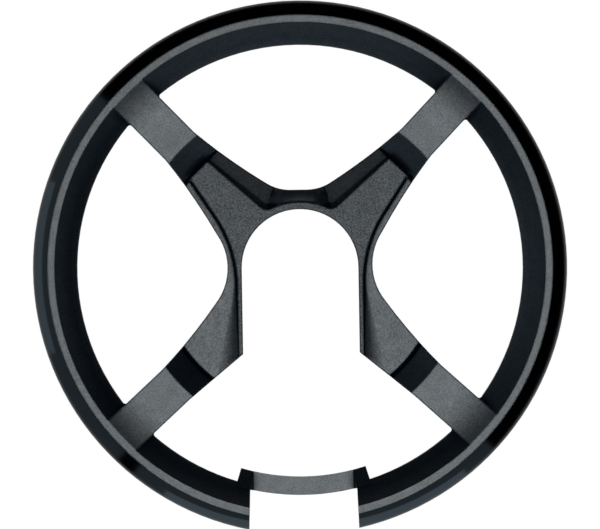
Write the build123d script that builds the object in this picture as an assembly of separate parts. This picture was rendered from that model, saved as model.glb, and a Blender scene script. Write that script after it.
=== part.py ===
from build123d import *
from math import asin, cos, degrees, radians, sin, tan
import os

# Bicycle chain guard, moulded in one piece. A channel-shaped ring covers the chain from outside. Four arms
# step back from it to a U-shaped hub that lies on the chainring and goes round the crank. The guard lies on
# its back: +Z is the crank's axis, Z 0 is the chainring's face, and +Y is away from the crank slot's mouth.

# Ring, from its rim inwards: bevelled rim, sloping flank, flat front band, hollow sloping inner wall
RING_R = 100.0
FLANK_WIDTH = 5.5
FLANK_DROP = 3.8
FLANK_CROWN_HEIGHT = 0.22
RIM_BEVEL_WIDTH = 0.25
RIM_BEVEL_HEIGHT = 0.6
BAND_WIDTH = 2.7
INNER_WALL_WIDTH = 8.3
INNER_WALL_HOLLOW = 0.25
INNER_WALL_ANGLE = 42.0
RING_FRONT = 14.5
RIM_BACK = 3.5
WALL = 2.2

# Arms
UPPER_ARM_ANGLE = 46.2
LOWER_ARM_ANGLE = -42.4
UPPER_ARM_WIDTH = 15.0
LOWER_ARM_WIDTH = 15.2
ARM_SETBACK = 3.7
ARM_BACK = 2.0
ARM_BLEND_LENGTH = 19.2
ARM_END_GAP = 0.5
ARM_FLAT_LENGTH = 20.8
ARM_CORNER_RADIUS = 1.0
STEP_ANGLE = 36.5
FLARE_START_GAP = 1.3
FLARE_HEIGHT = 0.6
GROOVE_WIDTH = 1.6
GROOVE_DEPTH = 1.2

# Hub outline
HUB_FRONT = 4.5
HUB_BACK_MARGIN = 4.0
SLOT_R = 21.9
SLOT_DEPTH = 32.2
TOP_WIDTH = 7.3
TOP_FLAT_LENGTH = 6.0
TOP_CORNER_X = 12.0
TOP_CORNER_RISE = 2.6
WAIST_WIDTH = 5.3
WAIST_HEIGHT = 13.0
WAIST_UPPER_FLARE = 3.9
WAIST_LOWER_FLARE = 4.7
HOLLOW_MARGIN = 11.1

# Raised land round the slot, with a wing on each upper arm
LAND_HEIGHT = 2.0
LAND_SIDE_ANGLE = 28.0
LAND_ROOT_ANGLE = 34.0
RIM_WIDTH = 3.6
RAIL_WIDTH = 2.6
WING_ROOT_OFFSET = 6.7
WING_TOP_OFFSET = 4.2
WING_BOTTOM_OFFSET = 6.6
WING_FOOT_Y = 7.65
WING_FOOT_RADIUS = 45.0
POCKET_FOOT_RADIUS = 1.1

# Hollow curve by which the lower arms rise to the land's rails at the slot's mouth
COVE_LENGTH = 26.0
COVE_WIDTH = 6.2
COVE_HEIGHT = 1.4
COVE_TIP_SHARE = 0.05
COVE_LAP = 0.02

# Sloping ledges beside the wings, and the rounded shoulder between them
LEDGE_SLOPE_ANGLE = 16.0
LEDGE_FALL_ANGLE = 2.5
LEDGE_LAP = 0.8
SHOULDER_LENGTH = 14.0
SHOULDER_R = 13.2
SHOULDER_CROWN_HEIGHT = 0.75
SHOULDER_END_WIDTH = 4.5
SHOULDER_END_DROP = 2.6
SHOULDER_END_RADIUS = 8.0
SHOULDER_SETBACK = 0.6
SHOULDER_START_ANGLE = 8.0

# Notch in the ring, and the bridge that closes its inner side
NOTCH_WIDTH = 40.7
NOTCH_SIDE_ANGLE = 2.0
NOTCH_FOOT = 1.4
BRIDGE_WIDTH = 6.9
BRIDGE_OVERLAP = 1.9
BRIDGE_FRONT = 3.0
BLOCK_WIDTH = 4.5
END_WEB_BACK = 5.2

# Screw bosses
BOSS_INSET = 8.3
BOSS_COUNT = 4
BOSS_START_ANGLE = 45.0
BOSS_R = 4.2
PILOT_R = 1.45
PILOT_SKIN = 3.0

# Room for cutting tools past the faces that they cut, and how close two points count as one
CLEAR = 5.0
NEAR = 0.01

# Radii and heights that follow from the sizes above
wall_slope = tan(radians(INNER_WALL_ANGLE))
wall_height = WALL / cos(radians(INNER_WALL_ANGLE))
step_slope = tan(radians(STEP_ANGLE))
land_side = tan(radians(LAND_SIDE_ANGLE))
band_outer_r = RING_R - FLANK_WIDTH
band_inner_r = band_outer_r - BAND_WIDTH
ring_inner_r = band_inner_r - INNER_WALL_WIDTH
rim_front = RING_FRONT - FLANK_DROP
arm_front = RING_FRONT - ARM_SETBACK
arm_end_r = ring_inner_r - ARM_END_GAP
step_outer_r = ring_inner_r - ARM_FLAT_LENGTH
step_inner_r = step_outer_r - (arm_front - HUB_FRONT) / step_slope
hub_edge_r = step_inner_r - GROOVE_WIDTH
groove_r = step_inner_r - GROOVE_WIDTH / 2
groove_z = HUB_FRONT - GROOVE_DEPTH
bridge_outer_r = ring_inner_r + BRIDGE_OVERLAP
bridge_inner_r = bridge_outer_r - BRIDGE_WIDTH
hub_top = SLOT_R + TOP_WIDTH
waist = SLOT_R + WAIST_WIDTH
land_rim_r = SLOT_R + RIM_WIDTH
rail_x = SLOT_R + RAIL_WIDTH
land_front = HUB_FRONT + LAND_HEIGHT
wing_tip_r = hub_edge_r + LAND_HEIGHT * land_side


def cone_front(radius):
    """Height of the ring's sloping inner wall at a radius."""
    return RING_FRONT - (band_inner_r - radius) * wall_slope


def notch_half(radius):
    """Half of the notch's width at a distance from the crank's axis."""
    return NOTCH_WIDTH / 2 + (radius - band_inner_r) * tan(radians(NOTCH_SIDE_ANGLE))


def turned(profile, angle=360.0):
    """A face of radius and height, turned about the crank's axis from +X."""
    return revolve(Plane.XZ * profile, axis=Axis.Z, revolution_arc=angle)


def both_sides(shape):
    """A shape of the right half together with its mirror image."""
    return shape + mirror(shape, about=Plane.YZ)


def on_arm(angle, along, across):
    """A point beside an arm's axis, across being positive to the left of the way out."""
    a = radians(angle)
    return (along * cos(a) - across * sin(a), along * sin(a) + across * cos(a))


def spider_plan():
    """Outline of the arms and the hub, seen from the front."""
    flare_r = step_outer_r + FLARE_START_GAP
    upper = UPPER_ARM_WIDTH / 2
    lower = LOWER_ARM_WIDTH / 2
    top_corner = (TOP_CORNER_X, hub_top + TOP_CORNER_RISE)
    waist_upper = (waist + WAIST_UPPER_FLARE, WAIST_HEIGHT)
    waist_lower = (waist + WAIST_LOWER_FLARE, -WAIST_HEIGHT)
    upper_left = on_arm(UPPER_ARM_ANGLE, flare_r, upper)
    upper_right = on_arm(UPPER_ARM_ANGLE, flare_r, -upper)
    lower_left = on_arm(LOWER_ARM_ANGLE, flare_r, lower)
    lower_right = on_arm(LOWER_ARM_ANGLE, flare_r, -lower)
    slot_corner = (SLOT_R, -SLOT_DEPTH)
    edges = [
        Line((0, SLOT_R), (0, hub_top)),
        Line((0, hub_top), (TOP_FLAT_LENGTH / 2, hub_top)),
        TangentArc((TOP_FLAT_LENGTH / 2, hub_top), top_corner, tangent=(1, 0)),
        SagittaArc(top_corner, upper_left, -FLARE_HEIGHT),
        Polyline(
            upper_left,
            on_arm(UPPER_ARM_ANGLE, RING_R, upper),
            on_arm(UPPER_ARM_ANGLE, RING_R, -upper),
            upper_right,
        ),
        SagittaArc(upper_right, waist_upper, -FLARE_HEIGHT),
        ThreePointArc(waist_upper, (waist, 0), waist_lower),
        SagittaArc(waist_lower, lower_left, -FLARE_HEIGHT),
        Polyline(
            lower_left,
            on_arm(LOWER_ARM_ANGLE, RING_R, lower),
            on_arm(LOWER_ARM_ANGLE, RING_R, -lower),
            lower_right,
            slot_corner,
            (SLOT_R, 0),
        ),
        CenterArc((0, 0), SLOT_R, 0, 90),
    ]
    return both_sides(make_face(edges))


def dish():
    """Everything from the front of the hub and arms down to their back edges, all the way round."""
    hub_r = SLOT_R / 2
    wall_mid = wall_height / 2
    blend_r = band_inner_r - ARM_BLEND_LENGTH
    hub_back_r = step_inner_r + HUB_BACK_MARGIN
    band_root = band_inner_r + WALL / 4
    blend_end = (band_inner_r, RING_FRONT)
    seat_r = ring_inner_r + WALL / 4
    return turned(make_face([
        Polyline(
            (hub_r, 0),
            (hub_r, HUB_FRONT),
            (hub_edge_r, HUB_FRONT),
            (groove_r, groove_z),
            (step_inner_r, HUB_FRONT),
            (step_outer_r, arm_front),
            (blend_r, arm_front),
        ),
        TangentArc((blend_r, arm_front), blend_end, tangent=(1, 0)),
        Polyline(
            blend_end,
            (band_root, cone_front(band_root) - wall_mid),
            (seat_r, cone_front(seat_r) - wall_mid),
            (arm_end_r, cone_front(seat_r) - wall_mid),
            (arm_end_r, ARM_BACK),
            (hub_back_r, ARM_BACK),
            (hub_back_r, 0),
            (hub_r, 0),
        ),
    ]))


def dish_hollow():
    """The room behind the arms and the outer hub, open at the back."""
    start_r = SLOT_R + HOLLOW_MARGIN
    end_r = arm_end_r - WALL
    hub_back = HUB_FRONT - WALL
    arm_back = arm_front - WALL
    step_shift = WALL * tan(radians(STEP_ANGLE / 2))
    return turned(make_face(Polyline(
        (start_r, -CLEAR),
        (start_r, hub_back),
        (step_inner_r + step_shift, hub_back),
        (step_outer_r + step_shift, arm_back),
        (end_r, arm_back),
        (end_r, -CLEAR),
        close=True,
    )))


def wing_top_edge():
    """Both ends of the line along the foot of the right wing's upper side."""
    root = on_arm(UPPER_ARM_ANGLE, SLOT_R, WING_ROOT_OFFSET)
    tip = on_arm(UPPER_ARM_ANGLE, wing_tip_r, WING_TOP_OFFSET)
    return root, tip


def ledge_cut():
    """What is taken off over the sloping ledge beside the right wing."""
    root, tip = wing_top_edge()
    turn = degrees(asin((tip[1] - root[1]) / (Vector(tip) - Vector(root)).length))
    size = 2 * groove_r
    at_tip = Pos(*tip, HUB_FRONT) * Rot(0, 0, turn)
    place = at_tip * Rot(0, -LEDGE_FALL_ANGLE, 0) * Rot(-LEDGE_SLOPE_ANGLE, 0, 0) * Pos(0, -LEDGE_LAP, 0)
    wedge = place * Box(size, size, size, align=(Align.CENTER, Align.MIN, Align.MIN))
    right_half = Box(size, size, size, align=(Align.MIN, Align.MIN, Align.MIN))
    return wedge & right_half & Cylinder(groove_r, 2 * size)


def shoulder(plan):
    """The barrel-shaped fall from the land's rim to the hub's edge between the two ledges."""
    half = SHOULDER_LENGTH / 2
    crown_r = SHOULDER_R - SHOULDER_CROWN_HEIGHT
    end_x = half + SHOULDER_END_WIDTH
    end_r = crown_r - SHOULDER_END_DROP
    profile = make_face([
        SagittaArc((-half, crown_r), (half, crown_r), SHOULDER_CROWN_HEIGHT),
        Polyline(
            (half, crown_r),
            (end_x, end_r),
            (end_x, 0),
            (-end_x, 0),
            (-end_x, end_r),
            (-half, crown_r),
        ),
    ])
    crown_ends = [v for v in profile.vertices() if abs(abs(v.X) - half) < NEAR]
    barrel = revolve(fillet(crown_ends, SHOULDER_END_RADIUS), axis=Axis.X)
    start = radians(SHOULDER_START_ANGLE)
    axis_y = land_rim_r - LAND_HEIGHT * land_side - SHOULDER_R * sin(start)
    axis_z = land_front - SHOULDER_SETBACK - SHOULDER_R * cos(start)
    return Pos(0, axis_y, axis_z) * barrel & extrude(plan, amount=RING_FRONT)


def ring():
    """The channel that covers the chain, open at the back."""
    inner_z = cone_front(ring_inner_r)
    back_r = RING_R - WALL
    back_front = RING_FRONT - WALL
    corner_r = band_inner_r + (wall_height - WALL) / wall_slope
    flank_end = (RING_R - RIM_BEVEL_WIDTH, rim_front)
    return turned(make_face([
        Line((ring_inner_r, inner_z - wall_height), (ring_inner_r, inner_z)),
        SagittaArc((ring_inner_r, inner_z), (band_inner_r, RING_FRONT), -INNER_WALL_HOLLOW),
        Line((band_inner_r, RING_FRONT), (band_outer_r, RING_FRONT)),
        SagittaArc((band_outer_r, RING_FRONT), flank_end, FLANK_CROWN_HEIGHT),
        Polyline(
            flank_end,
            (RING_R, rim_front - RIM_BEVEL_HEIGHT),
            (RING_R, RIM_BACK),
            (back_r, RIM_BACK),
            (back_r, rim_front),
        ),
        SagittaArc((back_r, rim_front), (band_outer_r - WALL / 2, back_front), -FLANK_CROWN_HEIGHT),
        Polyline(
            (band_outer_r - WALL / 2, back_front),
            (corner_r, back_front),
            (ring_inner_r, inner_z - wall_height),
        ),
    ]))


def land(plan):
    """The raised land: a rim round the slot that widens into a wing on each upper arm."""
    wing_root, tip_upper = wing_top_edge()
    tip_lower = on_arm(UPPER_ARM_ANGLE, wing_tip_r, -WING_BOTTOM_OFFSET)
    foot = (rail_x, WING_FOOT_Y)
    mouth_y = -SLOT_DEPTH - CLEAR
    half = make_face(Polyline(
        (0, mouth_y),
        (rail_x, mouth_y),
        foot,
        tip_lower,
        tip_upper,
        wing_root,
        (0, SLOT_R),
        close=True,
    ))
    half = fillet(half.vertices().sort_by_distance(foot)[0], WING_FOOT_RADIUS)
    arch = Circle(land_rim_r) & Pos(0, land_rim_r) * Rectangle(2 * land_rim_r, land_rim_r)
    outline = both_sides(half) + arch
    above_foot = [v for v in outline.vertices() if v.Y > WING_FOOT_Y]
    pockets = [v for v in above_foot if abs(v.center().length - land_rim_r) < NEAR]
    outline = fillet(pockets, POCKET_FOOT_RADIUS + WALL * tan(radians(LAND_ROOT_ANGLE)))
    outline = Pos(0, 0, HUB_FRONT) * outline
    raised = extrude(outline, amount=LAND_HEIGHT, taper=LAND_SIDE_ANGLE)
    root = extrude(outline, amount=-WALL, taper=-LAND_ROOT_ANGLE)
    return (raised + root) & extrude(plan, amount=RING_FRONT)


def cove(plan):
    """The hollow curve beside each rail, growing towards the slot's mouth."""
    foot_z = HUB_FRONT - WALL / 2
    growth = (1 - COVE_TIP_SHARE) / COVE_LENGTH
    sections = []
    for past_corner in (-COVE_LENGTH, COVE_WIDTH + CLEAR):
        scale = 1 + growth * past_corner
        height = COVE_HEIGHT * scale
        outer = (rail_x + COVE_WIDTH * scale, HUB_FRONT - COVE_LAP)
        inner_x = rail_x - height * land_side
        crest = (inner_x, HUB_FRONT + height)
        profile = make_face([
            TangentArc(outer, crest, tangent=(-1, 0)),
            Polyline(crest, (inner_x, foot_z), (outer[0], foot_z), outer),
        ])
        sections.append(Plane.XZ.offset(SLOT_DEPTH + past_corner) * profile)
    return both_sides(loft(sections, ruled=True)) & extrude(plan, amount=RING_FRONT)


def spider(plan):
    """Hub and arms as one dished shell, with the land on the hub."""
    cuts = both_sides(ledge_cut())
    shell = (extrude(plan, amount=2 * RING_FRONT) & dish()) - cuts
    inner_plan = offset(plan, amount=-WALL)
    hollow = (extrude(inner_plan, amount=2 * RING_FRONT) & dish_hollow()) - Pos(0, 0, -WALL) * cuts
    return shell - hollow + shoulder(plan) + land(plan) + cove(plan)


def bridge():
    """The strip that closes the notch's inner side, with the block that carries each of its ends."""
    profile = make_face(Polyline(
        (bridge_inner_r, 0),
        (bridge_outer_r, 0),
        (bridge_outer_r, cone_front(bridge_outer_r)),
        (bridge_inner_r, BRIDGE_FRONT),
        close=True,
    ))
    half_angle = degrees(asin((NOTCH_WIDTH / 2 + BLOCK_WIDTH) / ring_inner_r))
    sector = Rot(0, 0, -90 - half_angle) * turned(profile, 2 * half_angle)
    front = notch_half(ring_inner_r)
    foot = front - NOTCH_FOOT
    front_z = cone_front(bridge_outer_r)
    gap = make_face(Polyline(
        (-foot, BRIDGE_FRONT),
        (foot, BRIDGE_FRONT),
        (front, front_z),
        (front, RING_FRONT),
        (-front, RING_FRONT),
        (-front, front_z),
        close=True,
    ))
    return sector - extrude(Plane.XZ * gap, amount=RING_R)


def end_webs():
    """The walls that close the ring's channel at the notch."""
    profile = make_face(Polyline(
        (bridge_outer_r, END_WEB_BACK),
        (RING_R - WALL, END_WEB_BACK),
        (RING_R - WALL, rim_front),
        (band_outer_r, RING_FRONT - WALL / 2),
        (band_inner_r, RING_FRONT - WALL / 2),
        (bridge_outer_r, cone_front(bridge_outer_r) - wall_height / 2),
        close=True,
    ))
    slab = make_face(Polyline(
        (notch_half(0), 0),
        (notch_half(0) + WALL, 0),
        (notch_half(RING_R) + WALL, -RING_R),
        (notch_half(RING_R), -RING_R),
        close=True,
    ))
    return both_sides(turned(profile) & extrude(slab, amount=RING_FRONT))


def notch():
    """What is taken out of the ring at the notch."""
    start = ring_inner_r / 2
    end = RING_R + CLEAR
    outline = make_face(Polyline(
        (notch_half(start), -start),
        (notch_half(end), -end),
        (-notch_half(end), -end),
        (-notch_half(start), -start),
        close=True,
    ))
    return extrude(outline, amount=2 * RING_FRONT)


def arm_corners(plan):
    """The small rounded corners between the arms' sides and the ring's inner edge."""
    reach = 2 * ARM_CORNER_RADIUS
    edge = Circle(ring_inner_r + reach) - Circle(ring_inner_r)
    outline = plan + edge
    corners = [v for v in outline.vertices() if abs(v.center().length - ring_inner_r) < NEAR]
    outline = fillet(corners, ARM_CORNER_RADIUS)
    beside_arms = offset(plan, amount=reach) & (Circle(ring_inner_r) - Circle(ring_inner_r - reach))
    back_z = cone_front(ring_inner_r) - wall_height
    return extrude(Pos(0, 0, back_z) * (outline & beside_arms), amount=wall_height)


def bosses():
    """Screw bosses behind the arms, and the pilot holes in them."""
    circle = PolarLocations(step_outer_r + BOSS_INSET, BOSS_COUNT, start_angle=BOSS_START_ANGLE)
    up = (Align.CENTER, Align.CENTER, Align.MIN)
    posts = circle * Cylinder(BOSS_R, arm_front - WALL / 2, align=up)
    holes = circle * Cylinder(PILOT_R, arm_front - PILOT_SKIN, align=up)
    return posts, holes


def chain_guard():
    """The whole moulding."""
    plan = spider_plan()
    posts, holes = bosses()
    frame = ring() - notch() + end_webs() + bridge()
    return frame + spider(plan) + arm_corners(plan) + posts - holes


if __name__ == "__main__":
    os.makedirs("parts", exist_ok=True)
    export_step(chain_guard(), "parts/chain_guard.step")
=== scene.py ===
from math import cos, pi, radians, sin
from types import SimpleNamespace
import bpy
from mathutils import Matrix, Vector


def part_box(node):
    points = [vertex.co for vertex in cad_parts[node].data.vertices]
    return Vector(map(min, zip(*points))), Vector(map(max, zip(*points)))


# A bicycle chain guard of black moulded plastic, lying on a white studio floor, seen from straight above.
# Lengths are in metres, angles in degrees. The guard's front faces +Z, and its crank slot opens towards -Y.

GUARD = "chain_guard"

# The photograph: its frame, and where the guard lies in it
PHOTO_WIDTH_PX = 600
PHOTO_HEIGHT_PX = 529
RING_CENTRE_PX = (300.05, 267.5)
RING_WIDTH_PX = 534.3
GUARD_TURN = 0.95

# Camera: its sensor, and its distance from the rim, which has the photograph's scale
SENSOR_MM = 36.0
CAMERA_DISTANCE = 2.5
RIM_HEIGHT = 0.0101

# Zones of the moulding: radii about the crank's axis, the Y that the notch's blocks lie below, heights over
# the floor, the width of the soft edge between zones, and tilts at which a zone starts and is full
FLANK_START_R = 0.0945
RIM_START_R = 0.0980
HUB_R = 0.0534
GROOVE_START_R = 0.0529
GROOVE_END_R = 0.0540
NOTCH_Y = -0.0743
LAND_BOTTOM = 0.0060
LAND_TOP = 0.0068
ZONE_EDGE = 0.0003
SLOPE_TILTS = (36.0, 40.0)
STEEP_TILTS = (46.0, 54.0)
WALL_TILTS = (68.0, 78.0)

# Plastic: colours, how strongly and how sharply each zone mirrors, and its grain and larger mottle
PLASTIC_COLOUR = (0.0008, 0.0022, 0.0038, 1)
FLANK_COLOUR = (0.0003, 0.0003, 0.0004, 1)
PLASTIC_IOR = 1.5
SHEEN = 0.5
HUB_SHEEN = 0.43
# Slopes and steep faces mirror less than flat ones: painted shade that darkens them
SLOPE_PAINTED_SHADE_SHEEN = 0.22
STEEP_PAINTED_SHADE_SHEEN = 0.06
SPARK_ROUGHNESS = 0.41
LAND_ROUGHNESS = 0.50
SLOPE_ROUGHNESS = 0.32
STEEP_ROUGHNESS = 0.2
FLANK_ROUGHNESS = 0.08
GRAIN_SIZE = 0.0006
GRAIN_DEPTH = 0.00002
GRAIN_CONTRAST = 0.30
HUB_GRAIN_CONTRAST = 0.36
LAND_GRAIN_CONTRAST = 0.62
MOTTLE_SIZE = 0.004
MOTTLE_CONTRAST = 0.10
NOISE_DETAIL = 2.0
NOISE_ROUGHNESS = 0.6
NOISE_RANGE = (0.3, 0.7)

# Edges that are rounded in the shading, and painted shade in corners, where the plastic is made to mirror
# less
EDGE_RADIUS = 0.0010
RIM_EDGE_RADIUS = 0.0022
EDGE_SAMPLES = 6
# Painted shade: within this reach of a wall, corners are darkened by making the plastic mirror less
PAINTED_CORNER_SHADE_REACH = 0.003
PAINTED_CORNER_SHADE_OPENNESS = 0.6
PAINTED_CORNER_SHADE_SHEEN = 0.25
PAINTED_CORNER_SHADE_SAMPLES = 8

# Studio: a large soft light overhead, and upright panels, each with the bearing of its middle, its distance
# and width, the heights of its bottom and top, and its radiance
KEY_COLOUR = (0.87, 0.95, 1.0)
KEY_HEIGHT = 1.0
KEY_SIZE = 0.62
KEY_OFFSET = (0.02, -0.04)
KEY_RADIANCE = 9.0
PANEL_COLOUR = (0.62, 0.84, 1.0)
PANELS = {
    "left": (182.0, 1.00, 1.90, 0.00, 1.10, 0.45),
    "left_strip": (179.0, 0.98, 0.68, 0.12, 0.34, 0.70),
    "front": (273.0, 1.00, 1.86, 0.00, 1.10, 0.45),
    "front_strip": (273.0, 0.98, 1.37, 0.00, 0.34, 0.90),
    "right_strip": (345.0, 1.00, 1.65, 0.00, 0.12, 1.00),
}

# Floor, background, and the dark room round them. Most of what is seen of the floor is a white glow.
ROOM_R = 3.0
FLOOR_SIZE = 12.0
FLOOR_COLOUR = (0.9, 0.9, 0.9, 1)
FLOOR_GLOW_SHARE = 0.92
FLOOR_GLOW_STRENGTH = 1.05
WHITE = (1, 1, 1, 1)
BLACK = (0, 0, 0, 1)


class Nodes:
    """A node tree that is written from left to right, one node to a line."""

    def __init__(self, tree):
        self.tree = tree
        tree.nodes.clear()

    def add(self, kind, inputs=None, **settings):
        """Adds a node, with its inputs by name or number and its other settings by keyword."""
        node = self.tree.nodes.new(kind)
        for name, value in settings.items():
            setattr(node, name, value)
        for name, value in (inputs or {}).items():
            self.set(node.inputs[name], value)
        return node

    def set(self, socket, value):
        """Links another node's output to an input, or gives it a plain value."""
        if isinstance(value, bpy.types.NodeSocket):
            self.tree.links.new(value, socket)
        else:
            socket.default_value = value

    def math(self, operation, *values):
        node = self.add("ShaderNodeMath", operation=operation)
        for socket, value in zip(node.inputs, values):
            self.set(socket, value)
        return node.outputs[0]

    def ramp(self, value, low, high, to_low=0.0, to_high=1.0):
        """Goes evenly from one number to another as a value goes from low to high."""
        inputs = {"Value": value, "From Min": low, "From Max": high, "To Min": to_low, "To Max": to_high}
        return self.add("ShaderNodeMapRange", inputs).outputs[0]

    def past(self, value, limit):
        """Goes from 0 to 1 just past a limit."""
        return self.ramp(value, limit, limit + ZONE_EDGE)

    def until(self, value, limit):
        """Goes from 1 to 0 just past a limit."""
        return self.ramp(value, limit, limit + ZONE_EDGE, 1.0, 0.0)

    def between(self, value, low, high):
        """1 from one limit to another, and 0 elsewhere."""
        return self.math("MULTIPLY", self.past(value, low), self.until(value, high))

    def tilted(self, facing, start, full):
        """Goes from 0 to 1 as a face tilts from one angle to another."""
        return self.ramp(facing, cos(radians(full)), cos(radians(start)), 1.0, 0.0)

    def blend(self, share, first, second):
        """Goes from one number to another as the share goes from 0 to 1."""
        node = self.add("ShaderNodeMix", data_type="FLOAT")
        factor, _, start, end = node.inputs[:4]
        for socket, value in ((factor, share), (start, first), (end, second)):
            self.set(socket, value)
        return node.outputs[0]

    def noise(self, place, size):
        inputs = {"Vector": place, "Scale": 1 / size, "Detail": NOISE_DETAIL, "Roughness": NOISE_ROUGHNESS}
        return self.add("ShaderNodeTexNoise", inputs).outputs["Fac"]

    def speckle(self, noise, contrast, level):
        """Varies a level with a noise, by a contrast to both sides."""
        return self.math("MULTIPLY_ADD", self.ramp(noise, *NOISE_RANGE, -1.0, 1.0), contrast, level)

    def seen(self):
        """1 for what the camera sees, also in a reflection."""
        path = self.add("ShaderNodeLightPath").outputs
        return self.math("MAXIMUM", path["Is Camera Ray"], path["Is Glossy Ray"])


def zones(n, coords):
    """The zones of the moulding, each as a share from 0 to 1."""
    axes = n.add("ShaderNodeSeparateXYZ", {"Vector": coords["Object"]}).outputs
    across = n.add("ShaderNodeCombineXYZ", {"X": axes["X"], "Y": axes["Y"]}).outputs[0]
    radius = n.add("ShaderNodeVectorMath", {0: across}, operation="LENGTH").outputs["Value"]
    normal = n.add("ShaderNodeSeparateXYZ", {"Vector": coords["Normal"]}).outputs
    facing = n.math("ABSOLUTE", normal["Z"])
    hub = n.until(radius, HUB_R)
    upright = n.tilted(facing, *WALL_TILTS)
    return SimpleNamespace(
        flank=n.past(radius, FLANK_START_R),
        rim=n.past(radius, RIM_START_R),
        hub=hub,
        land=n.math("MULTIPLY", n.between(axes["Z"], LAND_BOTTOM, LAND_TOP), hub),
        groove=n.between(radius, GROOVE_START_R, GROOVE_END_R),
        notch=n.until(axes["Y"], NOTCH_Y),
        slope=n.math("MULTIPLY", n.tilted(facing, *SLOPE_TILTS), n.math("SUBTRACT", 1.0, upright)),
        steep=n.tilted(facing, *STEEP_TILTS),
    )


def sheen_with_painted_shade(n, zone, grain, mottle):
    """How strongly the plastic mirrors: speckled where it has grain, and less on slopes and in corners,
    which is painted shade there.
    """
    contrast = n.blend(zone.hub, GRAIN_CONTRAST, HUB_GRAIN_CONTRAST)
    contrast = n.blend(zone.land, contrast, LAND_GRAIN_CONTRAST)
    shade = n.speckle(mottle, MOTTLE_CONTRAST, n.speckle(grain, contrast, 1.0))
    # Painted shade in corners: the plastic mirrors less where nearby walls close it in
    corner_occlusion = n.add("ShaderNodeAmbientOcclusion", {"Distance": PAINTED_CORNER_SHADE_REACH}, samples=PAINTED_CORNER_SHADE_SAMPLES)
    painted_corner_shade = n.ramp(corner_occlusion.outputs["AO"], PAINTED_CORNER_SHADE_OPENNESS, 1.0, PAINTED_CORNER_SHADE_SHEEN, 1.0)
    level = n.blend(zone.hub, SHEEN, HUB_SHEEN)
    # Painted shade on slopes and steep faces: a lower mirror strength darkens them
    level = n.blend(zone.slope, level, n.blend(zone.steep, SLOPE_PAINTED_SHADE_SHEEN, STEEP_PAINTED_SHADE_SHEEN))
    return n.blend(zone.flank, n.math("MULTIPLY", n.math("MULTIPLY", shade, painted_corner_shade), level), SHEEN)


def roughness(n, zone):
    """Matt where the grain is, smoother on slopes, and polished on the flank."""
    flat = n.blend(zone.land, SPARK_ROUGHNESS, LAND_ROUGHNESS)
    sloping = n.blend(zone.steep, SLOPE_ROUGHNESS, STEEP_ROUGHNESS)
    return n.blend(zone.flank, n.blend(zone.slope, flat, sloping), FLANK_ROUGHNESS)


def relief(n, zone, grain):
    """The shaded normal: rounded edges, save in the grooves and at the notch, and a grain on flat faces."""
    sharp = n.math("MAXIMUM", zone.groove, zone.notch)
    edge_radius = n.blend(zone.rim, n.blend(sharp, EDGE_RADIUS, 0.0), RIM_EDGE_RADIUS)
    rounded = n.add("ShaderNodeBevel", {"Radius": edge_radius}, samples=EDGE_SAMPLES).outputs[0]
    bump = n.add("ShaderNodeBump", {
        "Strength": n.math("SUBTRACT", 1.0, n.math("MAXIMUM", zone.flank, zone.slope)),
        "Distance": GRAIN_DEPTH,
        "Height": grain,
        "Normal": rounded,
    })
    return bump.outputs[0]


def plastic():
    """Black plastic: fine spark grain on the flat faces, smoother slopes darkened by painted shade, and a
    polished outer flank.
    """
    material = bpy.data.materials.new("black_plastic")
    material.use_nodes = True
    n = Nodes(material.node_tree)
    coords = n.add("ShaderNodeTexCoord").outputs
    zone = zones(n, coords)
    grain = n.noise(coords["Object"], GRAIN_SIZE)
    mottle = n.noise(coords["Object"], MOTTLE_SIZE)
    tints = {"Fac": zone.flank, "Color1": PLASTIC_COLOUR, "Color2": FLANK_COLOUR}
    shader = n.add("ShaderNodeBsdfPrincipled", {
        "Base Color": n.add("ShaderNodeMixRGB", tints).outputs[0],
        "Roughness": roughness(n, zone),
        "Specular IOR Level": sheen_with_painted_shade(n, zone, grain, mottle),
        "IOR": PLASTIC_IOR,
        "Normal": relief(n, zone, grain),
    })
    n.add("ShaderNodeOutputMaterial", {"Surface": shader.outputs[0]})
    return material


def floor():
    """White floor that shows the guard's shadow, and lets a view from below through."""
    bpy.ops.mesh.primitive_plane_add(size=FLOOR_SIZE)
    plane = bpy.context.object
    plane.name = "floor"
    material = bpy.data.materials.new("floor")
    material.use_nodes = True
    n = Nodes(material.node_tree)
    share = n.math("MULTIPLY", n.seen(), FLOOR_GLOW_SHARE)
    diffuse = n.add("ShaderNodeBsdfDiffuse", {"Color": FLOOR_COLOUR}).outputs[0]
    glow = n.add("ShaderNodeEmission", {"Color": WHITE, "Strength": FLOOR_GLOW_STRENGTH}).outputs[0]
    top = n.add("ShaderNodeMixShader", {0: share, 1: diffuse, 2: glow}).outputs[0]
    back = n.add("ShaderNodeNewGeometry").outputs["Backfacing"]
    through = n.add("ShaderNodeBsdfTransparent").outputs[0]
    surface = n.add("ShaderNodeMixShader", {0: back, 1: top, 2: through}).outputs[0]
    n.add("ShaderNodeOutputMaterial", {"Surface": surface})
    plane.data.materials.append(material)


def background():
    """White where it is seen, and without light of its own."""
    world = bpy.data.worlds.new("studio")
    bpy.context.scene.world = world
    world.use_nodes = True
    n = Nodes(world.node_tree)
    dark = n.add("ShaderNodeBackground", {"Color": BLACK}).outputs[0]
    white = n.add("ShaderNodeBackground", {"Color": WHITE}).outputs[0]
    surface = n.add("ShaderNodeMixShader", {0: n.seen(), 1: dark, 2: white}).outputs[0]
    n.add("ShaderNodeOutputWorld", {"Surface": surface})


def room():
    """Dark walls and ceiling that the polished flank mirrors, out of the camera's sight."""
    bpy.ops.mesh.primitive_uv_sphere_add(radius=ROOM_R)
    walls = bpy.context.object
    walls.name = "room"
    walls.visible_camera = False
    material = bpy.data.materials.new("room")
    material.use_nodes = True
    n = Nodes(material.node_tree)
    dark = n.add("ShaderNodeBsdfDiffuse", {"Color": BLACK}).outputs[0]
    n.add("ShaderNodeOutputMaterial", {"Surface": dark})
    walls.data.materials.append(material)


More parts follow.
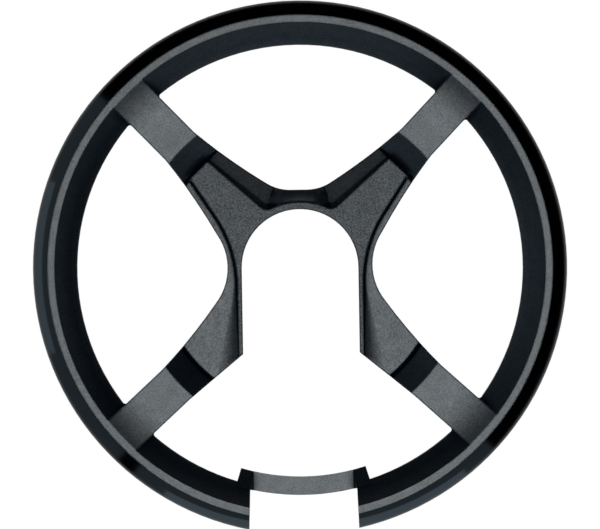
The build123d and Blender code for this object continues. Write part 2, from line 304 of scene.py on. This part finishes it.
def area_light(name, place, target, colour, radiance, shape, width, height):
    """A flat light of even radiance that faces a point."""
    data = bpy.data.lights.new(name, "AREA")
    data.shape = shape
    data.size = width
    area = width * height
    if shape == "DISK":
        area *= pi / 4
    else:
        data.size_y = height
    data.color = colour
    data.energy = radiance * pi * area
    light = bpy.data.objects.new(name, data)
    light.location = place
    light.rotation_euler = (Vector(target) - Vector(place)).to_track_quat("-Z", "Y").to_euler()
    light.visible_camera = False
    bpy.context.scene.collection.objects.link(light)


def lights():
    """The overhead light and the side panels."""
    overhead = (*KEY_OFFSET, KEY_HEIGHT)
    area_light("key", overhead, (0, 0, 0), KEY_COLOUR, KEY_RADIANCE, "DISK", KEY_SIZE, KEY_SIZE)
    for name, (bearing, distance, width, bottom, top, radiance) in PANELS.items():
        angle = radians(bearing)
        middle = (bottom + top) / 2
        place = (distance * cos(angle), distance * sin(angle), middle)
        area_light(name, place, (0, 0, middle), PANEL_COLOUR, radiance, "RECTANGLE", width, top - bottom)


def camera():
    """Straight above the guard, at the photograph's scale and turn."""
    low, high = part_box(GUARD)
    metres_per_px = (high.x - low.x) / RING_WIDTH_PX
    data = bpy.data.cameras.new("camera")
    data.sensor_width = SENSOR_MM
    data.lens = SENSOR_MM * CAMERA_DISTANCE / (PHOTO_WIDTH_PX * metres_per_px)
    right = (PHOTO_WIDTH_PX / 2 - RING_CENTRE_PX[0]) * metres_per_px
    up = (RING_CENTRE_PX[1] - PHOTO_HEIGHT_PX / 2) * metres_per_px
    turn = Matrix.Rotation(radians(-GUARD_TURN), 4, "Z")
    eye = bpy.data.objects.new("camera", data)
    eye.matrix_world = turn @ Matrix.Translation((right, up, RIM_HEIGHT + CAMERA_DISTANCE))
    bpy.context.scene.collection.objects.link(eye)
    bpy.context.scene.camera = eye


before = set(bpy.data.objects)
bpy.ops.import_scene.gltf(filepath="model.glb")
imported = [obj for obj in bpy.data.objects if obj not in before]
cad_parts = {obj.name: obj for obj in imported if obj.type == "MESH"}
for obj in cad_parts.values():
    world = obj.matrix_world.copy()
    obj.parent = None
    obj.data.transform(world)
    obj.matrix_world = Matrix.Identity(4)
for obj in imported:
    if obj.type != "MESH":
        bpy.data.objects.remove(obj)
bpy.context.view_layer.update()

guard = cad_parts[GUARD]
guard.data.materials.clear()
guard.data.materials.append(plastic())

floor()
background()
room()
lights()
camera()
bpy.context.scene.view_settings.view_transform = "Standard"
